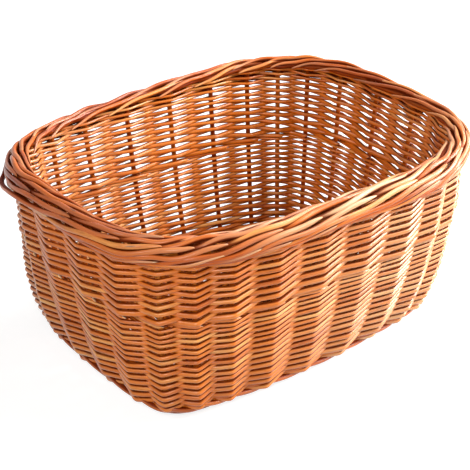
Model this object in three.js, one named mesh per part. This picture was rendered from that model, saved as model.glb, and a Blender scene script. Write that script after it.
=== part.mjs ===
// A willow bicycle basket: uprights called stakes rise from a woven base, weavers pass in front
// of and behind them all the way up, and the stakes' own tops are laid down into a rolled border.
// Millimetres, +Z up, +X along the basket's length, origin at the middle of the underside.
import * as THREE from 'three';

// Driving dimensions.
const rimLength = 400; // over the border
const rimWidth = 308;
const basketHeight = 185;
const baseLength = 306; // between the stakes where they leave the base
const baseWidth = 206;
const rimSquareness = 3.25; // exponents of the outlines: 2 is an ellipse, a high one is a rectangle
const baseSquareness = 10;
const sideCount = 4;
const stakesPerSide = 7;
const cornerCrowding = 0.7; // how much closer the stakes stand round the corners
const cornerTightness = 4; // the higher, the nearer to the corners that crowding stays
const stakeDiameter = 4.5;
const lowerWeaverDiameter = 3.8;
const upperWeaverDiameter = 4.1;
const waleDiameter = 3.8;
const baseStickCount = 7;
const baseStickDiameter = 6;
const baseWeaverDiameter = 5.6;
const baseWeaverGap = 0.5; // between two neighbouring rows of the base
const borderRadius = 10.6; // from the middle of the border to the middle of a rod in it
const borderOffset = 0.5; // how far the border's middle sits inside the stakes
const borderEndAngle = 130; // degrees above the outside, where a border rod is cut off
const seatGap = 0.3; // left between rods that touch
const uprightRuns = 6; // straight runs that a stake's curve is made of
const runSpread = 1.3; // how much closer the bends between them lie at the foot
const weaveBelowBorder = 0.8; // from the top row to the lowest rod of the border
const lowerBandShare = 0.605; // share of the woven wall that the lower band takes
const lowerRodsPerStart = 3; // how many rods each of a band's four starts is pieced from
const upperRodsPerStart = 2;
const outerStickInset = 19.6; // from the base's edge to its outermost stick
const endRowInset = 13.1; // from the base's edge to its first and last rows
const railFlat = 1.5; // half the length of the flats on which the base stands

const stakeCount = sideCount * stakesPerSide;
const stakeRadius = stakeDiameter / 2;
const colours = { willow: 0xc4703a, stake: 0xa5501f, base: 0xb8652f };

const UP = new THREE.Vector3(0, 0, 1);
const lerp = THREE.MathUtils.lerp;

// The border is a circle in section. Its middle lies one radius and half a rod below the top.
const borderMiddle = basketHeight - borderRadius - stakeRadius;
const wallHalfLength = rimLength / 2 - borderRadius + borderOffset - stakeRadius;
const wallHalfWidth = rimWidth / 2 - borderRadius + borderOffset - stakeRadius;

// Half the base's thickness: a stick with a weaver under it.
const stickReach = (baseStickDiameter + baseWeaverDiameter) / 2 + seatGap;
const footHeight = stickReach + baseWeaverDiameter * Math.SQRT1_2 / 2;

// A point of a superellipse, |x/a|^n + |y/b|^n = 1.
function outlinePoint(angle, halfLength, halfWidth, squareness) {
  const c = Math.cos(angle);
  const s = Math.sin(angle);
  const x = halfLength * Math.sign(c) * Math.abs(c) ** (2 / squareness);
  const y = halfWidth * Math.sign(s) * Math.abs(s) ** (2 / squareness);
  return new THREE.Vector3(x, y, 0);
}

// Where the stakes stand on an outline, spaced evenly along it but closer round its corners.
function stakePlaces(halfLength, halfWidth, squareness) {
  const samples = 7200;
  const points = [outlinePoint(0, halfLength, halfWidth, squareness)];
  const sums = [0];
  for (let i = 1; i <= samples; i += 1) {
    const point = outlinePoint((2 * Math.PI * i) / samples, halfLength, halfWidth, squareness);
    // 1 at a corner, where both x/a and y/b are 2 ** (-1 / squareness), and 0 on the axes.
    const cornerness = (Math.abs(point.x * point.y) / (halfLength * halfWidth)) * 4 ** (1 / squareness);
    const weight = 1 + cornerCrowding * cornerness ** cornerTightness;
    sums.push(sums[i - 1] + points[i - 1].distanceTo(point) * weight);
    points.push(point);
  }
  const places = [];
  for (let k = 0; k < stakeCount; k += 1) {
    const wanted = ((k + 0.5) / stakeCount) * sums[samples];
    places.push(points[sums.findIndex((sum) => sum >= wanted)]);
  }
  return places;
}

const basePlaces = stakePlaces(baseLength / 2, baseWidth / 2, baseSquareness);
const rimPlaces = stakePlaces(wallHalfLength, wallHalfWidth, rimSquareness);
const wrapped = (k) => ((k % stakeCount) + stakeCount) % stakeCount;

// The middle of stake k at a rise from 0 (the base's edge) to 1 (the middle of the border).
// A stake leaves the base flat and turns up: its height grows with the square of its reach.
function curvePoint(k, rise) {
  const point = basePlaces[wrapped(k)].clone().lerp(rimPlaces[wrapped(k)], rise);
  point.z = lerp(footHeight, borderMiddle, rise ** 2);
  return point;
}

// The same with the curve in straight runs between bends, as the stakes are made.
const bends = Array.from({ length: uprightRuns + 1 }, (_, i) => (i / uprightRuns) ** runSpread);
const bendHeights = bends.map((rise) => lerp(footHeight, borderMiddle, rise ** 2));
const placeAmong = (value, marks) => {
  let i = 0;
  while (i < marks.length - 2 && marks[i + 1] < value) i += 1;
  return { i, share: (value - marks[i]) / (marks[i + 1] - marks[i]) };
};

function wallPoint(k, rise) {
  const { i, share } = placeAmong(rise, bends);
  return curvePoint(k, bends[i]).lerp(curvePoint(k, bends[i + 1]), share);
}

function riseAtHeight(z) {
  const { i, share } = placeAmong(z, bendHeights);
  return lerp(bends[i], bends[i + 1], share);
}

// The wall's own directions at stake k: along the rim, up the stake and out of the wall.
function wallFrame(k, rise) {
  const step = 0.001;
  const centre = wallPoint(k, rise);
  const along = wallPoint(k + 1, rise).sub(wallPoint(k - 1, rise)).setZ(0).normalize();
  const up = wallPoint(k, rise + step).sub(wallPoint(k, Math.max(rise - step, 0))).normalize();
  const out = new THREE.Vector3().crossVectors(along, up).normalize();
  return { centre, along, up, out, high: new THREE.Vector3().crossVectors(out, along) };
}

// Length up a stake to each of its bends, on the stake that is shortest, so that rows set out
// by it come nowhere too close.
function lengthsUp(k) {
  const lengths = [0];
  for (let i = 1; i < bends.length; i += 1) {
    lengths.push(lengths[i - 1] + wallPoint(k, bends[i]).distanceTo(wallPoint(k, bends[i - 1])));
  }
  return lengths;
}

const shortest = Array.from({ length: stakesPerSide }, (_, k) => lengthsUp(k))
  .sort((a, b) => a.at(-1) - b.at(-1))[0];

function riseAtLength(length) {
  const { i, share } = placeAmong(length, shortest);
  return lerp(bends[i], bends[i + 1], share);
}

function lengthAtRise(rise) {
  const { i, share } = placeAmong(rise, bends);
  return lerp(shortest[i], shortest[i + 1], share);
}

// How far a rod's middle stands from a stake's when it bends round it to one side: the rod's
// straight runs leave at an angle, and on the outside of a corner they leave more steeply.
function seat(k, rise, side, reach) {
  const here = wallPoint(k, rise);
  const before = here.clone().sub(wallPoint(k - 1, rise));
  const after = wallPoint(k + 1, rise).sub(here);
  const cornering = before.angleTo(after) / 2;
  const slope = Math.atan2(2 * reach, Math.min(before.length(), after.length()));
  return (reach + seatGap) / Math.cos(slope + side * cornering);
}

// A closed rod through rings, each with a centre and two directions across the rod.
function rodGeometry(rings, sides, phase = 0) {
  const positions = [];
  for (const ring of rings) {
    for (let i = 0; i < sides; i += 1) {
      const angle = phase + (2 * Math.PI * i) / sides;
      const point = ring.centre.clone();
      point.addScaledVector(ring.across, ring.radius * Math.cos(angle));
      point.addScaledVector(ring.over, ring.radius * (ring.stretch ?? 1) * Math.sin(angle));
      positions.push(point.x, point.y, point.z);
    }
  }
  const faces = [];
  for (let r = 0; r < rings.length - 1; r += 1) {
    for (let i = 0; i < sides; i += 1) {
      const a = r * sides + i;
      const b = r * sides + ((i + 1) % sides);
      faces.push([a, b, b + sides], [a, b + sides, a + sides]);
    }
  }
  const lastRing = (rings.length - 1) * sides;
  for (let i = 1; i < sides - 1; i += 1) {
    faces.push([0, i + 1, i], [lastRing, lastRing + i, lastRing + i + 1]);
  }
  // The section runs the wrong way round where its two directions and the rod's run disagree.
  const run = rings[1].centre.clone().sub(rings[0].centre);
  const turnsBack = new THREE.Vector3().crossVectors(rings[0].across, rings[0].over).dot(run) < 0;
  const geometry = new THREE.BufferGeometry();
  geometry.setAttribute('position', new THREE.Float32BufferAttribute(positions, 3));
  geometry.setIndex(faces.flatMap((f) => (turnsBack ? [f[0], f[2], f[1]] : f)));
  return geometry;
}

function rodMesh(name, geometry, colour) {
  const smooth = geometry.toNonIndexed();
  smooth.computeVertexNormals();
  const finish = { color: colour, roughness: 0.38, metalness: 0 };
  const mesh = new THREE.Mesh(smooth, new THREE.MeshStandardMaterial(finish));
  mesh.name = name;
  return mesh;
}

// Where a border rod lies in the border's section, so many stakes on from its own. It goes
// behind the next stake, comes out in front of the one after, climbs the outside of the border
// and is laid over its top to end inside.
const borderStep = 2 * Math.asin((stakeDiameter + seatGap) / (2 * borderRadius));
const outReach = stakeDiameter + 2 * seatGap;
const borderStart = -Math.acos((outReach + borderOffset) / borderRadius);
const borderTurns = (THREE.MathUtils.degToRad(borderEndAngle) - borderStart) / borderStep;
const outHeight = borderMiddle + borderRadius * Math.sin(borderStart);
const behindHeight = outHeight + seatGap * 4;

function borderRing(stake, ahead) {
  const k = stake + ahead;
  const rim = wallFrame(k, 1);
  const out = new THREE.Vector3().crossVectors(rim.along, UP).normalize();
  let centre;
  if (ahead <= 2) {
    const height = ahead === 1 ? behindHeight : outHeight;
    const rise = riseAtHeight(height);
    const side = ahead === 1 ? -1 : 1;
    centre = wallPoint(k, rise).addScaledVector(out, side * seat(k, rise, side, stakeDiameter));
  } else {
    const angle = borderStart + (ahead - 2) * borderStep;
    centre = rim.centre.clone();
    centre.addScaledVector(out, borderRadius * Math.cos(angle) - borderOffset);
    centre.addScaledVector(UP, borderRadius * Math.sin(angle));
  }
  return { centre, across: out, over: UP.clone().negate(), radius: stakeRadius };
}

// The woven panel of the base, which the stakes' feet stop against.
const outerStick = baseWidth / 2 - outerStickInset;
const endRow = baseLength / 2 - endRowInset;
const turnAngle = Math.PI / 3;
const turnReach = stickReach / Math.cos(turnAngle / 2);
const panelHalfWidth = outerStick + turnReach + baseWeaverDiameter / 2 + seatGap;
const panelHalfLength = endRow + baseWeaverDiameter / 2 + seatGap;

function stakeFoot(k) {
  const edge = wallFrame(k, 0);
  const centre = edge.centre.clone();
  centre.x = THREE.MathUtils.clamp(centre.x, -panelHalfLength, panelHalfLength);
  centre.y = THREE.MathUtils.clamp(centre.y, -panelHalfWidth, panelHalfWidth);
  const run = edge.centre.clone().sub(centre).normalize();
  const out = UP.clone().negate();
  return { centre, across: out, over: new THREE.Vector3().crossVectors(out, run) };
}

// A stake, in one piece with the rod that it becomes in the border.
function stake(k) {
  const rings = [{ ...stakeFoot(k), radius: stakeRadius }];
  for (const rise of bends) {
    const frame = wallFrame(k, rise);
    const over = new THREE.Vector3().crossVectors(frame.out, frame.up);
    if (over.dot(rings.at(-1).over) < 0) over.negate();
    rings.push({ centre: frame.centre, across: frame.out, over, radius: stakeRadius });
  }
  const bend = rings.at(-1);
  const side = Math.sign(bend.over.dot(wallFrame(k, 1).along));
  bend.over = bend.over.clone().addScaledVector(UP, -side).normalize();
  bend.stretch = Math.SQRT2;
  for (let ahead = 1; ahead <= 2 + borderTurns; ahead += 1) {
    const ring = borderRing(k, ahead);
    ring.over.multiplyScalar(side);
    rings.push(ring);
  }
  return rodGeometry(rings, 4);
}

// A ring of a rod woven round the wall, bent to one side of stake k.
function wovenRing(k, length, side, radius) {
  const rise = riseAtLength(length);
  const frame = wallFrame(k, rise);
  const offset = side * seat(k, rise, side, stakeRadius + radius);
  const centre = frame.centre.addScaledVector(frame.out, offset);
  return { centre, across: frame.out, over: frame.high, radius, along: frame.along };
}

// Pulls a rod's two ends in, so that it meets the next rod end to end behind a stake.
function trimEnds(rings) {
  rings[0].centre.addScaledVector(rings[0].along, seatGap);
  rings.at(-1).centre.addScaledVector(rings.at(-1).along, -seatGap);
  return rings;
}

// The three rods of the wale at the foot of the wall twist round the stakes like a rope:
// behind one stake, in front of the next one high, in front of the one after low.
const waleRods = 3;
const waleLift = waleDiameter + seatGap;
const waleMiddle = waleLift + waleDiameter / 2 + seatGap;
const waleTop = 2 * waleMiddle;

function waleRod(start) {
  const rings = [];
  const rounds = Math.floor((stakeCount - 1 - start) / waleRods);
  for (let k = start; k <= start + rounds * waleRods; k += 1) {
    const place = (k - start) % waleRods;
    const side = place === 0 ? -1 : 1;
    const lift = [0, waleLift, -waleLift][place];
    rings.push(wovenRing(k, waleMiddle + lift, side, waleDiameter / 2));
  }
  return rodGeometry(trimEnds(rings), 4);
}

// Each band of the wall is woven with four rods at a time, which start a quarter of the way
// round from each other and climb together, so that rods next to each other cross between the
// stakes. Each rod ends behind a stake, where the next one takes over.
const wovenTop = outHeight - stakeRadius - weaveBelowBorder;
const wovenLength = lengthAtRise(riseAtHeight(wovenTop));
const lowerTop = lerp(waleTop, wovenLength, lowerBandShare);

// The rows come in fours, so that every rod ends on its own quarter of the wall. Each of the
// four is pieced together from so many rods.
function bandOf(name, first, last, diameter, rodsPerStart) {
  const rows = sideCount * Math.floor((last - first) / (diameter + seatGap) / sideCount);
  return { name, first, rows, pitch: (last - first) / rows, diameter, rodsPerStart };
}

const lowerFirst = waleTop + lowerWeaverDiameter / 2;
const upperFirst = lowerTop + (upperWeaverDiameter - lowerWeaverDiameter) / 2;
const upperLast = wovenLength - upperWeaverDiameter / 2;
const bands = [
  bandOf('lower', lowerFirst, lowerTop, lowerWeaverDiameter, lowerRodsPerStart),
  bandOf('upper', upperFirst, upperLast, upperWeaverDiameter, upperRodsPerStart),
];

function weaver(band, start, piece) {
  // Rods are pieced on behind a stake, which every second one is.
  const joinAt = (n) => 2 * Math.round((band.rows * stakesPerSide * n) / band.rodsPerStart / 2);
  const rings = [];
  for (let i = joinAt(piece); i <= joinAt(piece + 1); i += 1) {
    const k = start * stakesPerSide + i;
    const side = (k + start) % 2 === 0 ? -1 : 1;
    const length = band.first + (band.pitch * i) / stakesPerSide;
    rings.push(wovenRing(k, length, side, band.diameter / 2));
  }
  return rodGeometry(trimEnds(rings), 4);
}

// A straight stick of the base, six-sided, flat side down.
const stickSpacing = (2 * outerStick) / (baseStickCount - 1);
const stickAt = (j) => -outerStick + j * stickSpacing;

function baseStick(j) {
  const share = Math.abs(stickAt(j)) / (baseWidth / 2);
  const edge = (baseLength / 2) * (1 - share ** baseSquareness) ** (1 / baseSquareness);
  const end = Math.min(edge, panelHalfLength + stakeDiameter) - stakeDiameter;
  const rings = [-end, end].map((x) => ({
    centre: new THREE.Vector3(x, stickAt(j), footHeight),
    across: new THREE.Vector3(0, 1, 0),
    over: UP.clone(),
    radius: baseStickDiameter / 2,
  }));
  return rodGeometry(rings, 6);
}

// A rod of the base goes over one stick and under the next, round the last stick and back.
// It is square in section, and has flats under the middle stick for the base to stand on.
const basePitch = baseWeaverDiameter + baseWeaverGap;
const baseRows = 2 * Math.floor(endRow / basePitch / 2);
const rowPitch = (2 * endRow) / (2 * baseRows - 1);
const AXIS_X = new THREE.Vector3(1, 0, 0);

function baseWeaver(half) {
  const rings = [];
  const radius = baseWeaverDiameter / 2;
  const middleStick = (baseStickCount - 1) / 2;
  for (let row = 0; row < baseRows; row += 1) {
    const x = -endRow + (half * baseRows + row) * rowPitch;
    const forward = row % 2 === 0;
    for (let i = 0; i < baseStickCount; i += 1) {
      const j = forward ? i : baseStickCount - 1 - i;
      const high = (i % 2 === 0) === forward ? 1 : -1;
      const outer = i === 0 || i === baseStickCount - 1;
      const z = footHeight + high * stickReach;
      const flats = j === middleStick && high < 0 ? [-railFlat, railFlat] : [0];
      for (const flat of flats) {
        const y = stickAt(j) + (forward ? flat : -flat);
        const centre = new THREE.Vector3(x, y, z);
        rings.push({ centre, across: AXIS_X, over: UP.clone().multiplyScalar(forward ? 1 : -1), radius });
      }
      if (outer && i > 0 && row < baseRows - 1) {
        const out = new THREE.Vector3(0, forward ? 1 : -1, 0);
        for (const share of [1, 2]) {
          const angle = Math.PI / 2 - share * turnAngle;
          const over = out.clone().multiplyScalar(Math.cos(angle));
          over.addScaledVector(UP, high * Math.sin(angle));
          const centre = new THREE.Vector3(x + (rowPitch * share) / 3, stickAt(j), footHeight);
          centre.addScaledVector(over, turnReach);
          rings.push({ centre, across: AXIS_X, over, radius });
        }
      }
    }
  }
  return rodGeometry(rings, 4, Math.PI / 4);
}

// The assembly, from the base up.
const basket = new THREE.Group();

for (let j = 0; j < baseStickCount; j += 1) {
  basket.add(rodMesh(`base_stick_${j + 1}`, baseStick(j), colours.base));
}
basket.add(rodMesh('base_weaver_left', baseWeaver(0), colours.base));
basket.add(rodMesh('base_weaver_right', baseWeaver(1), colours.base));

for (let i = 0; i < waleRods; i += 1) {
  basket.add(rodMesh(`foot_wale_rod_${i + 1}`, waleRod(i), colours.willow));
}

for (let k = 0; k < stakeCount; k += 1) {
  const number = String(k + 1).padStart(2, '0');
  basket.add(rodMesh(`stake_${number}`, stake(k), colours.stake));
}

for (const band of bands) {
  for (let start = 0; start < sideCount; start += 1) {
    for (let piece = 0; piece < band.rodsPerStart; piece += 1) {
      const number = start * band.rodsPerStart + piece + 1;
      const name = `${band.name}_weaver_${number}`;
      basket.add(rodMesh(name, weaver(band, start, piece), colours.willow));
    }
  }
}

export default basket;
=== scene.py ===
"""Looks of a willow bicycle basket: every stake, weaver, wale and base rod as a tapered,
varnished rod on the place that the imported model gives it.

Lengths are in millimetres up to the meshes, which are in metres. +Z is up, +X along the
basket's length, and the photograph looks from -X and -Y.
"""
import math

import bpy
import numpy as np
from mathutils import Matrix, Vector


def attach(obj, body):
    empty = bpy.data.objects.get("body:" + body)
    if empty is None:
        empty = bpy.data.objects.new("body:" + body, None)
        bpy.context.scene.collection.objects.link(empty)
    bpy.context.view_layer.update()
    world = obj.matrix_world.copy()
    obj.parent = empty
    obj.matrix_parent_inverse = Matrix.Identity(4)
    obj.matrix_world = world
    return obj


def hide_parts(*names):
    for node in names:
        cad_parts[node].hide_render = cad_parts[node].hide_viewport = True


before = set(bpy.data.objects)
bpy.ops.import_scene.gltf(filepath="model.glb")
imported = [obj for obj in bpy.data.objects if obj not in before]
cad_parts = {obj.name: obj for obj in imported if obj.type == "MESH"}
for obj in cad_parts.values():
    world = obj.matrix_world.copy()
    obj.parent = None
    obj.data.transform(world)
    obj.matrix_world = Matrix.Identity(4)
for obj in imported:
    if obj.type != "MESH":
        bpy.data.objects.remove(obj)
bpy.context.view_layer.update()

MM = 0.001
rng = np.random.default_rng(28)

# The part's own sizes, as its source has them.
RIM_LENGTH = 400.0
RIM_WIDTH = 308.0
HEIGHT = 185.0
BASE_LENGTH = 306.0
BASE_WIDTH = 206.0
RIM_SQUARENESS = 3.25
BASE_SQUARENESS = 10.0
STAKES = 28
CORNER_CROWDING = 0.7
CORNER_TIGHTNESS = 4
STAKE_RADIUS = 2.25
BORDER_RADIUS = 10.6
BORDER_OFFSET = 0.5
SEAT_GAP = 0.3
FOOT = 8.08
BASE_STICKS = 7
OUTER_STICK_INSET = 19.6
OUTER_STICK = BASE_WIDTH / 2 - OUTER_STICK_INSET
END_ROW_INSET = 13.1
END_ROW = BASE_LENGTH / 2 - END_ROW_INSET
BORDER_MIDDLE = HEIGHT - BORDER_RADIUS - STAKE_RADIUS

# The camera that the photograph's outline was solved with, at 470 x 470.
CAMERA_AZIMUTH = -38.523
CAMERA_ELEVATION = 28.581
CAMERA_DISTANCE = 1450.4
CAMERA_FOCUS = 1598.2
CAMERA_CENTRE = (240.615, 228.909)
IMAGE_SIDE = 470.0
SENSOR_WIDTH = 36.0


def unit(vectors):
    """Each row divided by its length."""
    return vectors / np.linalg.norm(vectors, axis=-1, keepdims=True)


def running_length(points):
    """The length along a path up to each of its points."""
    return np.concatenate([[0], np.cumsum(np.linalg.norm(np.diff(points, axis=0), axis=1))])


def places_ahead(u, place):
    """How many places u is ahead of a place, by the shorter way round the basket."""
    return np.mod(u - place + STAKES / 2, STAKES) - STAKES / 2


# The wall's surface.

OUTLINE_STEPS = 7200


def outline_table(half_length, half_width, squareness):
    """A superellipse |x/a|^n + |y/b|^n = 1, walked in small steps, with the running length that
    spaces the stakes. The length counts more near the corners, where |xy| is greatest."""
    angle = np.linspace(0, 2 * np.pi, OUTLINE_STEPS + 1)
    c, s = np.cos(angle), np.sin(angle)
    power = 2 / squareness
    points = np.column_stack([
        half_length * np.sign(c) * np.abs(c) ** power,
        half_width * np.sign(s) * np.abs(s) ** power,
    ])
    cornerness = np.abs(points[:, 0] * points[:, 1]) / (half_length * half_width)
    weight = 1 + CORNER_CROWDING * (cornerness * 4 ** (1 / squareness)) ** CORNER_TIGHTNESS
    steps = np.linalg.norm(np.diff(points, axis=0), axis=1) * weight[1:]
    sums = np.concatenate([[0], np.cumsum(steps)])
    return points, sums / sums[-1] * STAKES


RIM_TABLE = outline_table(
    RIM_LENGTH / 2 - BORDER_RADIUS + BORDER_OFFSET - STAKE_RADIUS,
    RIM_WIDTH / 2 - BORDER_RADIUS + BORDER_OFFSET - STAKE_RADIUS,
    RIM_SQUARENESS,
)
BASE_TABLE = outline_table(BASE_LENGTH / 2, BASE_WIDTH / 2, BASE_SQUARENESS)


def outline_at(table, u):
    """The outline's point at place u, where stake k stands at u = k."""
    points, sums = table
    place = np.mod(u + 0.5, STAKES)
    return np.column_stack([np.interp(place, sums, points[:, i]) for i in (0, 1)])


# Where the hand-woven wall leaves its even shape: place and rise, how far round and up the wall
# that reaches, and how far the wall stands out and up there.
UNEVEN = (
    (24.3, 0.0, 2.1, 0.45, -9.0, 3.0),
    (10.8, 0.0, 2.2, 0.4, -6.0, 1.0),
    (16.9, 0.0, 1.6, 0.35, -4.5, 2.0),
    (20.2, 0.0, 1.5, 0.3, 2.0, 0.0),
    (10.6, 0.55, 1.2, 0.25, 4.5, 0.0),
    (24.6, 0.8, 1.6, 0.25, 3.0, 0.0),
    (7.8, 1.05, 2.6, 0.4, 0.0, -3.6),
    (22.6, 1.05, 1.6, 0.4, 0.0, -3.0),
)


def wall(u, rise):
    """The wall's middle at place u: base outline to rim outline in proportion to the rise,
    with a height that grows as the rise squared. The unevenness is a sum of bumps
    exp(-(du/a)^2 - (dr/b)^2), outwards from the basket's middle and up."""
    rise = np.asarray(rise, dtype=float)
    xy = outline_at(BASE_TABLE, u) * (1 - rise)[:, None] + outline_at(RIM_TABLE, u) * rise[:, None]
    height = FOOT + (BORDER_MIDDLE - FOOT) * rise ** 2
    away = unit(xy)
    for place, level, reach, climb, outwards, upwards in UNEVEN:
        around = places_ahead(u, place) / reach
        bump = np.exp(-around ** 2 - ((rise - level) / climb) ** 2)
        xy = xy + away * (outwards * bump)[:, None]
        height = height + upwards * bump
    return np.column_stack([xy, height])


PLACE_STEP = 0.15
RISE_STEP = 0.002


def wall_frame(u, rise):
    """The wall's middle with its directions along the rim, up the wall and out of it, from
    differences over PLACE_STEP and RISE_STEP to both sides."""
    centre = wall(u, rise)
    along = wall(u + PLACE_STEP, rise) - wall(u - PLACE_STEP, rise)
    along[:, 2] = 0
    along = unit(along)
    up = unit(wall(u, rise + RISE_STEP) - wall(u, rise - RISE_STEP))
    return centre, along, up, unit(np.cross(along, up))


def rise_at_height(z):
    """The rise at which the wall's middle is z high."""
    return np.sqrt(np.clip((np.asarray(z, dtype=float) - FOOT) / (BORDER_MIDDLE - FOOT), 0, None))


RISES = np.linspace(0, 1.02, 400)


def mean_lengths():
    """Length up the wall at each of RISES, averaged over the stakes."""
    total = np.zeros(len(RISES))
    for k in range(STAKES):
        total += running_length(wall(np.full(len(RISES), float(k)), RISES))
    return total / STAKES


LENGTHS = mean_lengths()


def rise_at_length(length):
    """The rise at a length up the wall."""
    return np.interp(length, LENGTHS, RISES)


def length_at_height(z):
    """The length up the wall at a height."""
    return float(np.interp(rise_at_height(z), RISES, LENGTHS))


def smooth_path(places, values, wanted):
    """A Catmull-Rom curve through values (one row a place) at the wanted places."""
    places = np.asarray(places, dtype=float)
    values = np.asarray(values, dtype=float)
    if values.ndim == 1:
        values = values[:, None]
    slopes = np.gradient(values, places, axis=0)
    i = np.clip(np.searchsorted(places, wanted, side="right") - 1, 0, len(places) - 2)
    span = places[i + 1] - places[i]
    t = ((wanted - places[i]) / span)[:, None]
    span = span[:, None]
    a, b = values[i], values[i + 1]
    ma, mb = slopes[i] * span, slopes[i + 1] * span
    return ((2 * t ** 3 - 3 * t ** 2 + 1) * a + (t ** 3 - 2 * t ** 2 + t) * ma
            + (3 * t ** 2 - 2 * t ** 3) * b + (t ** 3 - t ** 2) * mb)


# Rods.

EDGE_LENGTH = 0.14  # of the round on the edge of a rod's end, in radii
EDGE_RADIUS = 0.84  # where that round meets the cut, against the rod's own
CUT_ROOM = 1.3  # a slanted cut draws in the rings over this many times its depth
PRESSED_FROM = 0.72  # share of the normal along the pressed axis where painted shade between neighbours begins
PRESSED_OVER = 0.26  # and how much further up it is full
# A rod's girth: share of the wobble, way in mm for a radian, phase for the seed, lobes around.
SWELLS = ((0.5, 7.3, 40, 2), (0.5, 17.0, 90, 0), (0.35, 3.7, 70, -1))


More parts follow.
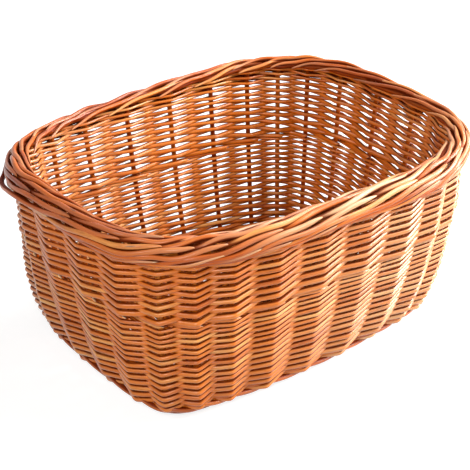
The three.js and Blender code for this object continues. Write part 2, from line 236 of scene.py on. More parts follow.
class Rods:
    """The rods of one piece, gathered as arrays of points, faces, UVs, tones, painted shade and
    paleness (rubbing and painted highlight). Sides is how many faces there are round a rod."""

    def __init__(self, sides):
        self.sides = sides
        self.points, self.quads, self.caps, self.uvs, self.tones = [], [], [], [], []
        self.creases, self.pales = [], []
        self.count = 0

    def add(self, centres, radii, reference, tone, cut=(0.0, 0.0), wobble=0.03, seed=0.0,
            free=(0.0, 0.0, 0.0), worn=0.0, pressed=(0.0, 0.0, 0.0), pale=0.0):
        """A tube along centres: at each of them a circle of its radius, square to the path, set
        out from a reference direction. Its girth swells and shrinks by wobble as sines of the
        way along and around. A slant cuts an end off square to nothing: the way along is drawn
        in by |slant| radii times (1 - cos) of the angle, so a plane oval faces away from the
        reference where the slant is positive and towards it where it is negative.
        Painted shade darkens the gaps where neighbours shade the rod: its level less the surface's
        normal on the free direction, or the normal's share along the axis on which neighbours
        press.
        Pale is how much paler the rod is along it, from rubbing and from painted highlight."""
        centres = np.asarray(centres, dtype=float)
        radii = np.broadcast_to(radii, len(centres)).astype(float)
        tangent = unit(np.gradient(centres, axis=0))
        # A short ring before each end carries the round on its edge.
        round_off = EDGE_LENGTH * radii[[0, -1]][:, None]
        centres = np.concatenate([
            centres[:1], centres[:1] + tangent[:1] * round_off[:1], centres[1:-1],
            centres[-1:] - tangent[-1:] * round_off[1:], centres[-1:],
        ])
        tangent = np.concatenate([tangent[:1], tangent, tangent[-1:]])
        radii = np.concatenate([radii[:1] * EDGE_RADIUS, radii, radii[-1:] * EDGE_RADIUS])
        reference = np.broadcast_to(reference, (len(tangent) - 2, 3))
        reference = np.concatenate([reference[:1], reference, reference[-1:]])
        over = unit(reference - (reference * tangent).sum(1, keepdims=True) * tangent)
        across = np.cross(tangent, over)
        angle = np.arange(self.sides) * 2 * np.pi / self.sides
        way = running_length(centres)
        girth = 1 + wobble * sum(
            share * np.sin(way[:, None] / length + seed * phase + lobes * angle)
            for share, length, phase, lobes in SWELLS
        )
        normals = (np.cos(angle)[:, None] * over[:, None, :]
                   + np.sin(angle)[:, None] * across[:, None, :])
        free, pressed = self.spread(free, len(tangent)), self.spread(pressed, len(tangent))
        worn, pale = self.spread(worn, len(tangent)), self.spread(pale, len(tangent))
        # Painted shade: where the rod faces in behind its neighbours, and where they press on it.
        hidden = worn[:, None] - (normals * free[:, None, :]).sum(-1)
        squeezed = np.abs((normals * pressed[:, None, :]).sum(-1))
        squeezed = (squeezed - PRESSED_FROM) / PRESSED_OVER
        crease = np.clip(np.maximum(hidden, squeezed), 0, 1)
        reach = radii[:, None] * girth
        rings = (centres[:, None, :]
                 + (reach * np.cos(angle))[..., None] * over[:, None, :]
                 + (reach * np.sin(angle))[..., None] * across[:, None, :])
        rows = len(centres)
        for slant, left, along in ((cut[0], way, 1.0), (cut[1], way[-1] - way, -1.0)):
            if slant == 0:
                continue
            drawn = abs(slant) * radii.mean() * (1 - np.sign(slant) * np.cos(angle))
            room = CUT_ROOM * drawn.max()
            share = np.clip(1 - left / room, 0, 1)
            rings += (along * share[:, None] * drawn)[..., None] * tangent[:, None, :]
        first = self.count
        r, i = np.meshgrid(np.arange(rows - 1), np.arange(self.sides), indexing="ij")
        a = first + r * self.sides + i
        b = first + r * self.sides + (i + 1) % self.sides
        self.quads.append(np.stack([a, b, b + self.sides, a + self.sides], -1).reshape(-1, 4))
        u0, u1 = i / self.sides, (i + 1) / self.sides
        v0, v1 = way[r] * MM, way[r + 1] * MM
        self.uvs.append(np.stack([u0, v0, u1, v0, u1, v1, u0, v1], -1).reshape(-1, 2))
        ring = np.arange(self.sides)
        last = first + (rows - 1) * self.sides
        self.caps += [first + ring[::-1], last + ring]
        self.points.append(rings.reshape(-1, 3))
        self.tones.append(np.full(rows * self.sides, tone))
        self.creases.append(crease.ravel())
        self.pales.append(np.repeat(pale, self.sides))
        self.count += rows * self.sides

    @staticmethod
    def spread(values, rows):
        """A value for each ring from one value, or from one for each centre; the rings at the
        two ends take their neighbour's."""
        values = np.asarray(values, dtype=float)
        if values.ndim == 0 or values.shape == (3,):
            return np.broadcast_to(values, (rows, *values.shape))
        return np.concatenate([values[:1], values, values[-1:]])

    def mesh(self, piece_name, material, nodes, slot):
        """Puts the rods into one mesh object, which rides on the basket's body and replaces the
        source's nodes."""
        points = np.concatenate(self.points) * MM
        quads = np.concatenate(self.quads)
        caps = np.array(self.caps)
        cap_uvs = np.tile([0.5, 0.0], (caps.size, 1))
        mesh = bpy.data.meshes.new(piece_name)
        mesh.vertices.add(len(points))
        mesh.vertices.foreach_set("co", points.ravel())
        loops = np.concatenate([quads.ravel(), caps.ravel()])
        mesh.loops.add(len(loops))
        mesh.loops.foreach_set("vertex_index", loops)
        starts = np.concatenate([
            np.arange(len(quads)) * 4, len(quads) * 4 + np.arange(len(caps)) * self.sides,
        ])
        mesh.polygons.add(len(starts))
        mesh.polygons.foreach_set("loop_start", starts)
        smooth = np.concatenate([np.ones(len(quads), bool), np.zeros(len(caps), bool)])
        mesh.polygons.foreach_set("use_smooth", smooth)
        uv = mesh.uv_layers.new(name="rod_uv")
        uv.data.foreach_set("uv", np.concatenate([*self.uvs, cap_uvs]).ravel())
        # rod_painted_shade carries painted shade; rod_pale carries paleness from rubbing and
        # painted highlight.
        for name, values in (
            ("rod_tone", self.tones), ("rod_painted_shade", self.creases), ("rod_pale", self.pales),
        ):
            attribute = mesh.attributes.new(name, "FLOAT", "POINT")
            attribute.data.foreach_set("value", np.concatenate(values))
        end = mesh.attributes.new("rod_end", "FLOAT", "FACE")
        end.data.foreach_set("value", (~smooth).astype(float))
        mesh.update(calc_edges=True)
        mesh.validate()
        mesh.materials.append(material)
        piece = bpy.data.objects.new(piece_name, mesh)
        bpy.context.scene.collection.objects.link(piece)
        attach(piece, "root")
        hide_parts(*nodes)


# Materials.

def socket(group, name, kind, way, value=None):
    """Adds a named input or output to a node group."""
    made = group.interface.new_socket(name=name, in_out=way, socket_type=kind)
    if value is not None:
        made.default_value = value


def math_node(tree, operation, a, b=None, clamp=False):
    """A Math node; a and b are sockets or numbers."""
    node = tree.nodes.new("ShaderNodeMath")
    node.operation = operation
    node.use_clamp = clamp
    for i, value in enumerate((a, b)):
        if value is None:
            continue
        if isinstance(value, (int, float)):
            node.inputs[i].default_value = value
        else:
            tree.links.new(value, node.inputs[i])
    return node.outputs[0]


def departure(tree, pattern, amount):
    """How far a pattern is from its middle, (pattern - 0.5) * amount."""
    return math_node(tree, "MULTIPLY", math_node(tree, "SUBTRACT", pattern, 0.5), amount)


def noise_node(tree, vector, scale, detail, roughness):
    """A Noise texture's value at a vector."""
    node = tree.nodes.new("ShaderNodeTexNoise")
    node.inputs["Scale"].default_value = scale
    node.inputs["Detail"].default_value = detail
    node.inputs["Roughness"].default_value = roughness
    tree.links.new(vector, node.inputs["Vector"])
    return node.outputs["Fac"]


def range_node(tree, value, low, high, to_low=0.0, to_high=1.0):
    """A smooth Map Range of a value."""
    node = tree.nodes.new("ShaderNodeMapRange")
    node.interpolation_type = "SMOOTHSTEP"
    limits = {"From Min": low, "From Max": high, "To Min": to_low, "To Max": to_high}
    for name, number in limits.items():
        node.inputs[name].default_value = number
    tree.links.new(value, node.inputs["Value"])
    return node.outputs["Result"]


def mix_node(tree, factor, a, b):
    """A colour Mix node; a and b are sockets or colours."""
    node = tree.nodes.new("ShaderNodeMix")
    node.data_type = "RGBA"
    for name, value in (("Factor", factor), ("A", a), ("B", b)):
        target = [s for s in node.inputs if s.name == name and s.enabled][0]
        if isinstance(value, (int, float, tuple)):
            target.default_value = value
        else:
            tree.links.new(value, target)
    return [s for s in node.outputs if s.enabled][0]


# Painted shade: the dark red-brown that darkens the gaps between rods, and how fully it covers.
PAINTED_SHADE_COVER = 0.93
PAINTED_SHADE_COLOUR = (0.14, 0.0145, 0.001)
SCAR = (0.035, 0.010, 0.004, 1.0)
# Pale wood: cut ends and bark taken off by rubbing, and also painted highlights.
BARE_WOOD_AND_HIGHLIGHT = (0.80, 0.58, 0.33, 1.0)
TONE_APART = 61.0  # how far a rod's tone moves it through the patterns, so that no two match


def rod_group():
    """Willow along a rod: streaks of grain, slow changes of colour, a tone of each rod's own,
    dark buds' scars with a ring, fine pits, painted shade in a dark stain colour in the gaps
    between rods, and pale wood at cut ends, where rubbing took the bark off and as painted
    highlight. Puts out a colour, a roughness, a coat's weight and a height."""
    group = bpy.data.node_groups.new("willow_rod", "ShaderNodeTree")
    for label in ("Dark", "Middle", "Pale", "Painted shade"):
        socket(group, label, "NodeSocketColor", "INPUT")
    for label, value in (("Scars", 1.0), ("Varnish", 0.5)):
        socket(group, label, "NodeSocketFloat", "INPUT", value)
    socket(group, "Color", "NodeSocketColor", "OUTPUT")
    for label in ("Roughness", "Coat", "Height"):
        socket(group, label, "NodeSocketFloat", "OUTPUT")
    nodes, links = group.nodes, group.links
    inputs = nodes.new("NodeGroupInput").outputs
    outputs = nodes.new("NodeGroupOutput").inputs
    uv = nodes.new("ShaderNodeUVMap")
    uv.uv_map = "rod_uv"
    split = nodes.new("ShaderNodeSeparateXYZ")
    links.new(uv.outputs["UV"], split.inputs[0])
    turn = math_node(group, "MULTIPLY", split.outputs[0], 2 * math.pi)
    along = split.outputs[1]

    def attribute(name):
        """What the mesh says of its rods under a name."""
        node = nodes.new("ShaderNodeAttribute")
        node.attribute_name = name
        return node.outputs["Fac"]

    def scaled(value, factor):
        """A value times a factor."""
        return math_node(group, "MULTIPLY", value, factor)

    def added(a, b, clamp=False):
        """The sum of two values."""
        return math_node(group, "ADD", a, b, clamp=clamp)

    rod_tone = attribute("rod_tone")
    # Painted shade that the mesh gives, in the gaps between rods where shade falls.
    crease = attribute("rod_painted_shade")

    def rod_vector(around, length_scale):
        """(cos, sin, way) of the rod's surface, so that a pattern closes round the rod."""
        join = nodes.new("ShaderNodeCombineXYZ")
        way = scaled(along, length_scale)
        links.new(scaled(math_node(group, "COSINE", turn), around), join.inputs[0])
        links.new(scaled(math_node(group, "SINE", turn), around), join.inputs[1])
        links.new(added(way, scaled(rod_tone, TONE_APART)), join.inputs[2])
        return join.outputs[0]

    streaks = noise_node(group, rod_vector(1.0, 18.0), scale=3.2, detail=5.0, roughness=0.62)
    slow = noise_node(group, rod_vector(0.25, 11.0), scale=1.0, detail=2.0, roughness=0.5)
    fine = noise_node(group, rod_vector(1.0, 160.0), scale=4.0, detail=3.0, roughness=0.6)
    # Scars: cells along the rod, each with a spot on one side and a ring round it.
    cells = nodes.new("ShaderNodeTexVoronoi")
    cells.voronoi_dimensions = "3D"
    cells.feature = "F1"
    cells.inputs["Scale"].default_value = 1.0
    cells.inputs["Randomness"].default_value = 1.0
    links.new(rod_vector(0.42, 26.0), cells.inputs["Vector"])
    from_cell = cells.outputs["Distance"]
    spot = range_node(group, from_cell, low=0.05, high=0.17, to_low=1.0, to_high=0.0)
    from_ring = math_node(group, "ABSOLUTE", math_node(group, "SUBTRACT", from_cell, 0.22))
    ring = range_node(group, from_ring, low=0.0, high=0.06, to_low=1.0, to_high=0.0)
    scar = scaled(spot, inputs["Scars"])
    ring = scaled(ring, inputs["Scars"])
    # Tone: each rod's own, moved by the slow change and the streaks.
    moved = added(rod_tone, departure(group, slow, 0.7))
    moved = added(moved, departure(group, streaks, 0.8))
    low = mix_node(group, range_node(group, moved, 0.0, 0.5), inputs["Dark"], inputs["Middle"])
    colour = mix_node(group, range_node(group, moved, 0.5, 1.05), low, inputs["Pale"])
    colour = mix_node(group, scaled(ring, 0.35), colour, inputs["Dark"])
    colour = mix_node(group, scaled(scar, 0.85), colour, SCAR)
    # A cut end and bark taken off by rubbing show the pale wood inside; the same colour also
    # paints highlights, where rod_pale carries them.
    bare_and_highlight = math_node(group, "MAXIMUM", attribute("rod_end"), attribute("rod_pale"))
    colour = mix_node(group, scaled(bare_and_highlight, 0.85), colour, BARE_WOOD_AND_HIGHLIGHT)
    # Painted shade, in a dark stain colour, in the gaps between the rods where shade falls,
    # unevenly.
    uneven = added(crease, departure(group, streaks, 0.7))
    shaded = scaled(range_node(group, uneven, low=0.12, high=0.85), PAINTED_SHADE_COVER)
    colour = mix_node(group, shaded, colour, inputs["Painted shade"])
    rough = range_node(group, streaks, low=0.3, high=0.75, to_low=0.26, to_high=0.44)
    rough = added(rough, scaled(shaded, 0.3))
    rough = added(rough, scaled(scar, 0.25), clamp=True)
    height = added(scaled(streaks, 0.55), scaled(fine, 0.18))
    height = added(height, scaled(ring, 0.5))
    height = math_node(group, "SUBTRACT", height, scaled(scar, 0.5))
    links.new(colour, outputs["Color"])
    links.new(rough, outputs["Roughness"])
    # The coat is taken off where shade is painted, so those places don't shine.
    unshaded = math_node(group, "SUBTRACT", 1.0, shaded)
    links.new(scaled(unshaded, inputs["Varnish"]), outputs["Coat"])
    links.new(height, outputs["Height"])
    return group


WILLOW_GROUP = rod_group()


BUMP_STRENGTH = 0.55
BUMP_DEPTH = 0.0004  # metres
VARNISH_IOR = 1.5
# The shine is the coat's. The wood under it hardly mirrors, or the white room would wash it out.
WOOD_SPECULAR = 0.05


def willow(name, dark, middle, pale, scars, coat, coat_roughness):
    """A varnished willow finish from the shared rod pattern."""
    material = bpy.data.materials.new(name)
    material.use_nodes = True
    tree = material.node_tree
    shader = tree.nodes["Principled BSDF"].inputs
    rod = tree.nodes.new("ShaderNodeGroup")
    rod.node_tree = WILLOW_GROUP
    for label, colour in (("Dark", dark), ("Middle", middle), ("Pale", pale), ("Painted shade", PAINTED_SHADE_COLOUR)):
        rod.inputs[label].default_value = (*colour, 1.0)
    rod.inputs["Scars"].default_value = scars
    rod.inputs["Varnish"].default_value = coat
    bump = tree.nodes.new("ShaderNodeBump")
    bump.inputs["Strength"].default_value = BUMP_STRENGTH
    bump.inputs["Distance"].default_value = BUMP_DEPTH
    tree.links.new(rod.outputs["Color"], shader["Base Color"])
    tree.links.new(rod.outputs["Roughness"], shader["Roughness"])
    tree.links.new(rod.outputs["Coat"], shader["Coat Weight"])
    tree.links.new(rod.outputs["Height"], bump.inputs["Height"])
    tree.links.new(bump.outputs["Normal"], shader["Normal"])
    shader["Coat Roughness"].default_value = coat_roughness
    shader["Coat IOR"].default_value = VARNISH_IOR
    shader["Specular IOR Level"].default_value = WOOD_SPECULAR
    return material


WILLOW = willow(
    "willow", dark=(0.36, 0.054, 0.003), middle=(0.71, 0.178, 0.010), pale=(0.88, 0.42, 0.11),
    scars=0.6, coat=0.88, coat_roughness=0.27,
)
STAKE_WILLOW = willow(
    "stake_willow", dark=(0.28, 0.032, 0.002), middle=(0.56, 0.108, 0.004),
    pale=(0.84, 0.34, 0.07), scars=0.8, coat=0.6, coat_roughness=0.24,
)
BASE_WILLOW = willow(
    "base_willow", dark=(0.26, 0.045, 0.004), middle=(0.54, 0.14, 0.014),
    pale=(0.74, 0.34, 0.08), scars=0.7, coat=0.2, coat_roughness=0.3,
)


# The wall's two woven bands.

def band_heights(rows, low, high, diameters):
    """Where the rods of a band cross between two stakes. Row m there is the rod that started m
    stakes earlier. Each lies on the one below, so its height is the sum of the diameters under
    it, stretched or pressed so that every bay is filled from low to high."""
    bay, row = np.meshgrid(np.arange(STAKES), np.arange(rows), indexing="ij")
    rod = (bay - row) % STAKES
    thick = diameters[rod, row]
    below = np.cumsum(thick, axis=1) - thick / 2
    return low + below * (high - low) / thick.sum(1, keepdims=True)


BEND_SHARPNESS = 0.996  # nearer to 1, a rod is straighter between the stakes
SWING = 1.18  # how far a rod swings, against its seat on the stakes
LOOSE_BACK = 4.5  # the place round which the weave is thinnest and loosest
BACK_THINNER = 0.17  # share by which the rods are thinner there
BACK_SWING = 0.14  # and how much more they swing
ROD_GAP = 0.12
GIRTH_SPREAD = 0.055
HEIGHT_SPREAD = 0.4  # of a rod's height at the stakes
END_PLACE = 0.35  # how far past its first and last stakes a rod's height is set
BUTT_DROP, TIP_LIFT = 1.2, 1.0  # below the first crossing, above the last
BUTT_OUT, TIP_OUT = (0.16, 0.34), (0.12, 0.3)  # how far past those stakes a rod goes
# A rod's ends go in behind the weave: so far, and so much more for each bay past the stake.
END_DEPTH, END_SLOPE = 0.9, 3.0
# A rod gets painted shade where it faces in behind the weave: the smaller the first, the sharper
# the change from unshaded to shaded, and the lower the second, the less of the rod is shaded.
WEAVE_SHADE_EDGE, WEAVE_SHADE_LEVEL = 0.55, -0.7
BAY_STEPS = np.array([0, 0.018, 0.04, 0.075, 0.15, 0.32, 0.5, 0.68, 0.85, 0.925, 0.96, 0.982])
# Where the weave has a painted highlight, as paler wood: place, how far round that reaches, and
# how much.
PAINTED_HIGHLIGHTS = ((22.9, 2.8, 0.33), (9.5, 2.4, 0.22))


def painted_highlight(u):
    """How pale the painted highlight makes the weave at place u: a sum of bumps exp(-(du/a)^2)."""
    total = np.zeros(len(u))
    for place, reach, most in PAINTED_HIGHLIGHTS:
        total += most * np.exp(-(places_ahead(u, place) / reach) ** 2)
    return total


def weave_band(rows, low, high, butt, tip):
    """One band of French randing. A rod starts behind each stake, goes in front of the next and
    behind the one after, and climbs a row at each. After t bays its place is start + t, its side
    is a rounded zigzag, asin(s cos(pi t)) / asin(s), and its height runs through the packed
    crossings. Each rod comes as its path, radii, way up, free directions and paleness."""
    half_rows = np.arange(rows) + 0.5
    girth = rng.normal(1.0, GIRTH_SPREAD, STAKES)[:, None]
    thick = (butt + (tip - butt) * half_rows / rows)[None, :] * girth
    crossings = band_heights(rows, low, high, thick)
    rods = []
    for start in range(STAKES):
        bays = (start + np.arange(rows)) % STAKES
        mid = crossings[bays, np.arange(rows)]
        places = np.concatenate([[-END_PLACE], half_rows, [rows + END_PLACE]])
        lengths = np.concatenate([[mid[0] - BUTT_DROP], mid, [mid[-1] + TIP_LIFT]])
        at_stakes = np.interp(np.arange(rows + 1), places, lengths)
        at_stakes += rng.normal(0, HEIGHT_SPREAD, rows + 1)
        marks = np.concatenate([places, np.arange(rows + 1)])
        order = np.argsort(marks)
        first = -rng.uniform(*BUTT_OUT)
        last = rows + rng.uniform(*TIP_OUT)
        t = (np.arange(rows)[:, None] + BAY_STEPS).ravel()
        t = np.concatenate([[first], t, [rows, last]])
        length = smooth_path(marks[order], np.concatenate([lengths, at_stakes])[order], t)[:, 0]
        back = 0.5 + 0.5 * np.cos(2 * np.pi * (start + t - LOOSE_BACK) / STAKES)
        radius = (butt + (tip - butt) * t / rows) / 2 * girth[start, 0]
        radius = radius * (1 - BACK_THINNER * back)
        inside = np.clip(t, 0, rows)
        swing = BEND_SHARPNESS * np.cos(np.pi * inside)
        side = -np.arcsin(swing) / math.asin(BEND_SHARPNESS)
        past = (t < 0) | (t > rows)
        behind = np.where(past, END_DEPTH + END_SLOPE * np.abs(t - inside), 0.0)
        centre, _, up, out = wall_frame(start + t, rise_at_length(length))
        reach = STAKE_RADIUS + radius + ROD_GAP
        centre = centre + out * (side * reach * (SWING + BACK_SWING * back) - behind)[:, None]
        # The free directions carry the painted shade, and the last item the painted highlight.
        rods.append((centre, radius, up, out * side[:, None] / WEAVE_SHADE_EDGE, painted_highlight(start + t)))
    return rods


WALE_TOP = 12.6
OUT_HEIGHT = BORDER_MIDDLE - BORDER_RADIUS * math.sin(math.acos(
    (2 * STAKE_RADIUS + 2 * SEAT_GAP + BORDER_OFFSET) / BORDER_RADIUS))
WEAVE_TOP = length_at_height(OUT_HEIGHT - STAKE_RADIUS)
BAND_LINE = WALE_TOP + (WEAVE_TOP - WALE_TOP) * 0.6
QUARTERS = 4
GROUP = STAKES // QUARTERS
WEAVE_START = 3.6  # length up the wall, over the wale
UNDER_BORDER = 14.4  # how far the weave goes on inside the border
# Name, rows, from and to which length up the wall, thickness of butt and tip, and how many of
# the source's nodes a quarter of the band replaces.
BANDS = (
    ("lower", 31, WEAVE_START, BAND_LINE, 5.3, 3.3, 3),
    ("upper", 23, BAND_LINE, WEAVE_TOP + UNDER_BORDER, 5.5, 3.3, 2),
)
DARKEST, PALEST = 0.02, 0.98
WEAVE_CUTS = (1.1, -1.2)
PALE_BY_TONE = 3.0  # a rod shows the painted highlight the more, the paler its own tone is
LEAST_PALE, MOST_PALE = 0.3, 1.7


def willow_tones(count, middle, spread):
    """A tone for each rod, from dark to pale."""
    return np.clip(rng.normal(middle, spread, count), DARKEST, PALEST)


def add_bands():
    """Weaves both bands and gathers each in four pieces of seven rods."""
    for name, rows, low, high, butt, tip, nodes in BANDS:
        rods = weave_band(rows, low, high, butt, tip)
        tones = willow_tones(STAKES, 0.5, 0.12)
        for quarter in range(QUARTERS):
            piece = Rods(sides=9)
            for i in range(quarter * GROUP, (quarter + 1) * GROUP):
                centre, radius, up, free, pale = rods[i]
                # Painted highlight by place, more on paler rods; painted shade where the rod faces
                # in and where its neighbours press.
                more = np.clip(1 + PALE_BY_TONE * (tones[i] - 0.5), LEAST_PALE, MOST_PALE)
                piece.add(centre, radius, up, tones[i], cut=WEAVE_CUTS, seed=tones[i],
                          free=free, worn=WEAVE_SHADE_LEVEL, pressed=up, pale=pale * more)
            names = [f"{name}_weaver_{quarter * nodes + n + 1}" for n in range(nodes)]
            piece.mesh(f"{name}_weave_{quarter + 1}", WILLOW, names, "willow")


# Stakes, with the border that their tops are laid down into.

BORDER_STEP = 2 * math.asin((2 * STAKE_RADIUS + SEAT_GAP) / (2 * BORDER_RADIUS))
BORDER_START = -math.acos((2 * STAKE_RADIUS + 2 * SEAT_GAP + BORDER_OFFSET) / BORDER_RADIUS)
PANEL_HALF_LENGTH = END_ROW + 3.1  # half a weaver of the base and a gap past its end row
PANEL_HALF_WIDTH = OUTER_STICK + 10.1  # round the outermost stick
OVER_THE_TOP = 6.0  # stakes ahead at which a strand is over the border's top
INNER_STEP = math.radians(10.0)  # so much more it turns for each stake from there on
WANDER = math.radians(8.0)
WANDER_WAVE, SWELL_WAVE = 1.7, 1.3  # in stakes
SINK_IN, SINK_OUT = 1.5, 0.9  # stakes over which a strand sinks in at its start and its end
SUNK_SHADE = 0.4  # how much painted shade a strand gets for each mm that it is sunk under its neighbours
UNSHADED_SHARE = 0.62  # how far out a strand has to face to be free of painted shade
# The border's paler top, partly rubbing and partly painted highlight: place, reach, most.
RUBBED_AND_HIGHLIGHT_PLACE, RUBBED_AND_HIGHLIGHT_REACH, RUBBED_AND_HIGHLIGHT_MOST = 21.0, 4.5, 0.8
DARK_PLACE, DARK_REACH, DARKER = 9.5, 3.2, 0.3
# One stake's top stands loose out of the border: how far out and down, and round which point
# ahead of its stake.
LOOSE_STAKE, LOOSE_BULGE, LOOSE_DROP = 9, 9.5, 4.0
LOOSE_AHEAD, LOOSE_REACH = 2.1, 1.15
UPRIGHT_FREE, UPRIGHT_SHADE_LEVEL = 0.14, 0.2  # an upright's painted shade, light where it faces out
PALE_TIP = 42.0  # length of the paler end of a strand, partly painted highlight
HELIX_STEP = 0.2  # in stakes
STAKE_STEP, STRAND_STEP = 3.4, 3.2
UPRIGHT_RINGS = 28
UPRIGHT_FROM = 0.03  # the rise at which a stake's upright starts
UPRIGHT_BELOW = 7.0  # how far under the border's middle it stops


def border_points(stake, aheads, angles, radii):
    """Points on the border's circle, so many stakes ahead of a stake, at angles up from the
    outside and radii from the circle's middle. Each row also has the way out of the circle,
    scaled as a free direction, its level of painted shade (a strand is free of it on its outer
    side), and how much paler its top is, partly from rubbing by hands and partly painted
    highlight:
    sin(angle) + 0.3, from 0 to 1, times exp(-(du/a)^2) round the place RUBBED_AND_HIGHLIGHT_PLACE."""
    places = stake + np.asarray(aheads, dtype=float)
    centre, along, _, _ = wall_frame(places, np.ones(len(places)))
    flat = unit(np.cross(along, [[0.0, 0.0, 1.0]]))
    free = flat * np.cos(angles)[:, None]
    free[:, 2] = np.sin(angles)
    points = centre - flat * BORDER_OFFSET + free * np.asarray(radii)[:, None]
    rubbed_and_highlight = np.exp(-(places_ahead(places, RUBBED_AND_HIGHLIGHT_PLACE) / RUBBED_AND_HIGHLIGHT_REACH) ** 2)
    rubbed_and_highlight = rubbed_and_highlight * np.clip(np.sin(angles) + 0.3, 0, 1)
    return np.column_stack([points, free / UNSHADED_SHARE, np.ones(len(points)), rubbed_and_highlight])


def border_angle(turns):
    """A strand's angle round the border after so many stakes: an even step, and a wider one once
    it is over the top."""
    inner = np.clip(turns - OVER_THE_TOP, 0, None) * INNER_STEP
    return BORDER_START + turns * BORDER_STEP + inner


def helix(stake, first, last, sinks, swell, shift=0.0):
    """A strand laid round the border from first to last stakes ahead, sunk by sinks under its
    neighbours at its two ends, with more painted shade where it is sunk at its start. It wanders
    up and down by WANDER and in and out by swell, as sines of the way with random phases. Shift
    turns all of it by so many steps. Some strands are paler on top than others, from rubbing and
    from painted highlight."""
    turns = np.arange(first, last + 0.01, HELIX_STEP)
    share = (turns - first) / (last - first)
    phases = rng.uniform(0, 2 * np.pi, 2)
    hump = np.sin(np.pi * share)
    wander = np.sin(2 * np.pi * turns / WANDER_WAVE + phases[0])
    angles = border_angle(turns + shift) + WANDER * hump * wander
    swollen = 1 + np.sin(2 * np.pi * turns / SWELL_WAVE + phases[1])
    radii = BORDER_RADIUS + swell * hump * swollen / 2
    sunk = sinks[0] * np.clip(1 - (turns - first) / SINK_IN, 0, 1) ** 2
    radii -= sunk + sinks[1] * np.clip(1 - (last - turns) / SINK_OUT, 0, 1) ** 2
    points = border_points(stake, 2 + turns, angles, radii)
    points[:, 6] += np.clip(sunk, 0, None) * SUNK_SHADE
    points[:, 7] *= rng.uniform(0.0, RUBBED_AND_HIGHLIGHT_MOST)
    return points


def resampled(nodes, step):
    """The smooth curve through nodes at an even step, with its length. What a node has beside
    its place is carried along."""
    way = running_length(nodes[:, :3])
    wanted = np.linspace(0, way[-1], max(8, int(way[-1] / step)))
    return smooth_path(way, nodes, wanted), wanted


# Stakes ahead, distance out of the wall and height over the border's middle, where a stake goes
# over at the rim, behind the next stake and out in front of the one after.
OVER_AT_RIM = np.array([
    (0.0, -0.1, 0.5), (0.06, -0.6, 3.6), (0.2, -1.9, 5.4), (0.42, -3.4, 5.7), (0.7, -4.6, 5.0),
    (1.0, -4.9, 4.5), (1.28, -2.6, 4.6), (1.52, 0.6, 3.4), (1.78, 3.6, -2.4),
])


def stake_path(k, turns):
    """Stake k: in from the base's woven panel, up the wall's curve, over at the rim, behind the
    next stake, out in front of the one after, and then up the outside of the border. The loose
    stake is moved out and down there by bulges exp(-(dt/a)^2)."""
    foot = wall(np.array([float(k)]), np.array([0.0]))[0]
    inner = foot.copy()
    inner[0] = np.clip(inner[0], -PANEL_HALF_LENGTH, PANEL_HALF_LENGTH)
    inner[1] = np.clip(inner[1], -PANEL_HALF_WIDTH, PANEL_HALF_WIDTH)
    top = rise_at_height(BORDER_MIDDLE - UPRIGHT_BELOW)
    rises = np.linspace(UPRIGHT_FROM, top, UPRIGHT_RINGS)
    upright, _, _, out = wall_frame(np.full(len(rises), float(k)), rises)
    straight = np.column_stack([
        np.concatenate([[inner], upright]), np.concatenate([out[:1], out]) * UPRIGHT_FREE,
        np.full(len(upright) + 1, UPRIGHT_SHADE_LEVEL), np.zeros(len(upright) + 1),
    ])
    aheads, outwards, heights = OVER_AT_RIM.T
    over = border_points(k, aheads, np.zeros(len(aheads)), outwards + BORDER_OFFSET)
    over[:, 2] = BORDER_MIDDLE + heights
    # Behind its neighbours a stake faces in and gets painted shade, most where it faces out, and
    # its top gets no paleness.
    over[:, 3:6] *= -0.3
    over[:, 7] = 0
    climb = helix(k, 0.0, turns, (0.0, 0.0), 0.9)
    if k == LOOSE_STAKE:
        climb_aheads = 2 + np.arange(len(climb)) * HELIX_STEP
        for part, ahead in ((over, aheads), (climb, climb_aheads)):
            bulge = LOOSE_BULGE * np.exp(-((ahead - LOOSE_AHEAD) / LOOSE_REACH) ** 2)
            part[:, :3] += out_directions(part) * bulge[:, None]
            part[:, 2] -= bulge * LOOSE_DROP / LOOSE_BULGE
    return resampled(np.concatenate([straight, over, climb]), STAKE_STEP)


def out_directions(path):
    """Away from the basket's middle, level, as the wall's normal is: the gradient of the rim's
    superellipse at each point's bearing."""
    half_length, half_width = RIM_LENGTH / 2, RIM_WIDTH / 2
    power = RIM_SQUARENESS - 1
    x, y = path[:, 0] / half_length, path[:, 1] / half_width
    return unit(np.column_stack([
        np.sign(x) * np.abs(x) ** power / half_length,
        np.sign(y) * np.abs(y) ** power / half_width,
        np.zeros(len(path)),
    ]))


def paler_tip(way, most):
    """How pale a rod is along its way: up to most, over its last PALE_TIP. That paler end is
    partly painted highlight.
    """
    return most * np.clip(1 - (way[-1] - way) / PALE_TIP, 0, 1)


def add_strand(piece, points, widths, tone, slant, tip):
    """One strand of a stake's piece: widths are its radii at even shares of its length, and its
    last stretch is paler by tip."""
    path, way = resampled(points, STRAND_STEP)
    radius = np.interp(way / way[-1], np.linspace(0, 1, len(widths)), widths)
    pale = np.maximum(paler_tip(way, tip), path[:, 7])
    piece.add(path[:, :3], radius, out_directions(path), tone, cut=(0.0, slant), seed=tone,
              free=path[:, 3:6], worn=path[:, 6], pale=pale)


# A stake's four rods in the border: its own, the one laid in, the inner one and the tip. First,
# how many stakes ahead each shows, which says how near the dark corner it is.
SHOWS_AHEAD = np.array([[4.0], [5.5], [7.0], [3.0]])
# A stake's radii at its foot, so far from there, so far from its end twice, and at its end.
STAKE_WIDTHS = (2.3, 2.3, 2.45, 2.25, 1.2)
STAKE_EVEN, STAKE_THICK, STAKE_THIN = 170, 60, 14
LAID_WIDTHS = np.array([2.1, 2.4, 2.3, 1.2])
INNER_WIDTHS = np.array([2.1, 2.2, 1.8, 0.9])
TIP_WIDTHS = np.array([1.7, 2.0, 2.0, 1.7, 0.6])
